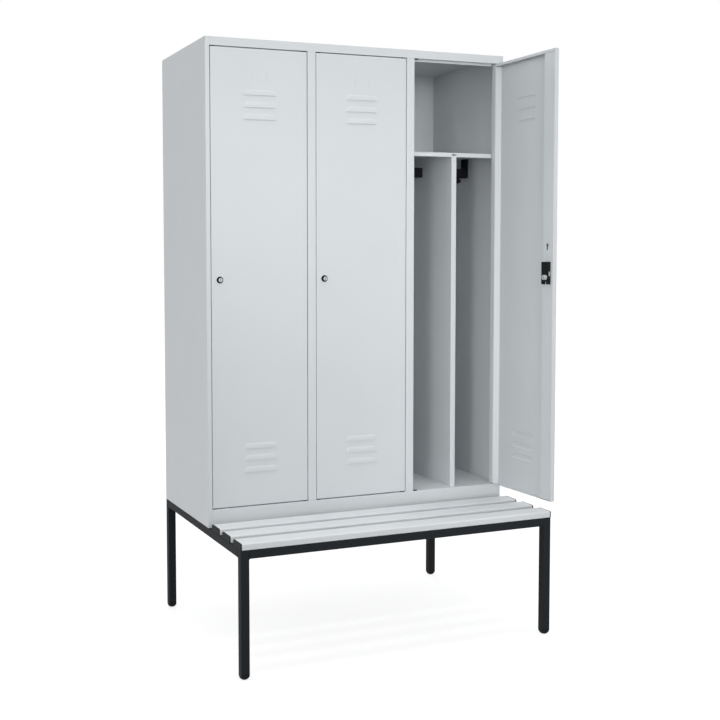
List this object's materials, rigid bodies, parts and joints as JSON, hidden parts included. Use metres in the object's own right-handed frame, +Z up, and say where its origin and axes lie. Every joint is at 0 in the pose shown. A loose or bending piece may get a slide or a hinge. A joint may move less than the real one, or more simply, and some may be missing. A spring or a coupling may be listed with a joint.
{
  "type": "cloakroom locker with bench",
  "caption": "Steel cloakroom locker with louvred hinged doors, hat shelves and divided coat spaces, on a square-tube underframe with a slatted bench in front.",
  "frame": {"origin": "on the floor, at the middle of the footprint with the right door open as stored", "axes": "+Z up, +X to the right seen from the front, -Y towards the person who opens the doors"},
  "size_m": [1.2, 0.8482, 2.128],
  "materials": {
    "carcass_powder_coat": "light grey satin powder coat",
    "door_powder_coat": "light grey satin powder coat",
    "frame_powder_coat": "black-grey satin powder coat",
    "slat_plastic": "light grey extruded plastic, fine satin",
    "black_plastic": "black moulded plastic, satin",
    "lock_chrome": "bright chrome plate",
    "zinc_steel": "bright zinc plate"
  },
  "bodies": {
    "carcass": {"back_panel": "carcass_powder_coat", "bench_bearers": "frame_powder_coat", "bottom_panel": "carcass_powder_coat", "centre_post_1": "carcass_powder_coat", "centre_post_2": "carcass_powder_coat", "clothes_rail_1": "black_plastic", "clothes_rail_2": "black_plastic", "clothes_rail_3": "black_plastic", "divider_1": "carcass_powder_coat", "divider_2": "carcass_powder_coat", "divider_3": "carcass_powder_coat", "feet": "black_plastic", "frame_rail_front": "frame_powder_coat", "frame_rail_left": "frame_powder_coat", "frame_rail_middle": "frame_powder_coat", "frame_rail_rear": "frame_powder_coat", "frame_rail_right": "frame_powder_coat", "frame_screws": "zinc_steel", "hat_shelf_1": "carcass_powder_coat", "hat_shelf_2": "carcass_powder_coat", "hat_shelf_3": "carcass_powder_coat", "hinge_pins": "zinc_steel", "left_side_panel": "carcass_powder_coat", "leg_front_left": "frame_powder_coat", "leg_front_right": "frame_powder_coat", "leg_rear_left": "frame_powder_coat", "leg_rear_right": "frame_powder_coat", "partition_1": "carcass_powder_coat", "partition_2": "carcass_powder_coat", "pivot_bushes": "black_plastic", "right_side_panel": "carcass_powder_coat", "seat_slat_front": "slat_plastic", "seat_slat_middle": "slat_plastic", "seat_slat_rear": "slat_plastic", "slat_end_caps": "black_plastic", "top_panel": "carcass_powder_coat"},
    "door_1": {"door_leaf_1": "door_powder_coat", "door_stiffener_1": "door_powder_coat", "lock_case_1": "black_plastic", "lock_barrel_1": "black_plastic"},
    "plug_1": {"lock_plug_1": "lock_chrome"},
    "bolt_1": {"lock_bolt_1": "zinc_steel"},
    "hook_1_left": {"coat_hook_1_left": "black_plastic"},
    "hook_1_right": {"coat_hook_1_right": "black_plastic"},
    "door_2": {"door_leaf_2": "door_powder_coat", "door_stiffener_2": "door_powder_coat", "lock_case_2": "black_plastic", "lock_barrel_2": "black_plastic"},
    "plug_2": {"lock_plug_2": "lock_chrome"},
    "bolt_2": {"lock_bolt_2": "zinc_steel"},
    "hook_2_left": {"coat_hook_2_left": "black_plastic"},
    "hook_2_right": {"coat_hook_2_right": "black_plastic"},
    "door_3": {"door_leaf_3": "door_powder_coat", "door_stiffener_3": "door_powder_coat", "lock_case_3": "black_plastic", "lock_barrel_3": "black_plastic"},
    "plug_3": {"lock_plug_3": "lock_chrome"},
    "bolt_3": {"lock_bolt_3": "zinc_steel"},
    "hook_3_left": {"coat_hook_3_left": "black_plastic"},
    "hook_3_right": {"coat_hook_3_right": "black_plastic"}
  },
  "joints": [
    {"name": "door_1_swing", "type": "hinge", "parent": "carcass", "child": "door_1", "pos_m": [-0.227, -0.06892, 1.2945], "axis": [0, 0, 1], "range_deg": [0, 110]},
    {"name": "door_1_plug_turn", "type": "hinge", "parent": "door_1", "child": "plug_1", "pos_m": [-0.551, -0.07592, 1.2945], "axis": [0, -1, 0], "range_deg": [0, 90]},
    {"name": "door_1_bolt_throw", "type": "slide", "parent": "door_1", "child": "bolt_1", "axis": [-1, 0, 0], "range_m": [0, 0.02]},
    {"name": "coat_hook_1_left_slide", "type": "slide", "parent": "carcass", "child": "hook_1_left", "axis": [1, 0, 0], "range_m": [-0.076, 0.076]},
    {"name": "coat_hook_1_right_slide", "type": "slide", "parent": "carcass", "child": "hook_1_right", "axis": [1, 0, 0], "range_m": [-0.1527, 0.0198]},
    {"name": "door_2_swing", "type": "hinge", "parent": "carcass", "child": "door_2", "pos_m": [0.173, -0.06892, 1.2945], "axis": [0, 0, 1], "range_deg": [0, 110]},
    {"name": "door_2_plug_turn", "type": "hinge", "parent": "door_2", "child": "plug_2", "pos_m": [-0.151, -0.07592, 1.2945], "axis": [0, -1, 0], "range_deg": [0, 90]},
    {"name": "door_2_bolt_throw", "type": "slide", "parent": "door_2", "child": "bolt_2", "axis": [-1, 0, 0], "range_m": [0, 0.02]},
    {"name": "coat_hook_2_left_slide", "type": "slide", "parent": "carcass", "child": "hook_2_left", "axis": [1, 0, 0], "range_m": [-0.0762, 0.0762]},
    {"name": "coat_hook_2_right_slide", "type": "slide", "parent": "carcass", "child": "hook_2_right", "axis": [1, 0, 0], "range_m": [-0.1527, 0.0198]},
    {"name": "door_3_swing", "type": "hinge", "parent": "carcass", "child": "door_3", "pos_m": [0.573, -0.06892, 1.2945], "axis": [0, 0, 1], "range_deg": [-91.5, 18.5]},
    {"name": "door_3_plug_turn", "type": "hinge", "parent": "door_3", "child": "plug_3", "pos_m": [0.58848, -0.39262, 1.2945], "axis": [0.9997, 0.0262, 0], "range_deg": [0, 90]},
    {"name": "door_3_bolt_throw", "type": "slide", "parent": "door_3", "child": "bolt_3", "axis": [0.0262, -0.9997, 0], "range_m": [0, 0.02]},
    {"name": "coat_hook_3_left_slide", "type": "slide", "parent": "carcass", "child": "hook_3_left", "axis": [1, 0, 0], "range_m": [-0.0762, 0.0762]},
    {"name": "coat_hook_3_right_slide", "type": "slide", "parent": "carcass", "child": "hook_3_right", "axis": [1, 0, 0], "range_m": [-0.1522, 0.0198]}
  ],
  "couplings": [
    {"joint": "door_1_bolt_throw", "follows": "door_1_plug_turn", "m_per_rad": 0.01273},
    {"joint": "door_2_bolt_throw", "follows": "door_2_plug_turn", "m_per_rad": 0.01273},
    {"joint": "door_3_bolt_throw", "follows": "door_3_plug_turn", "m_per_rad": 0.01273}
  ]
}
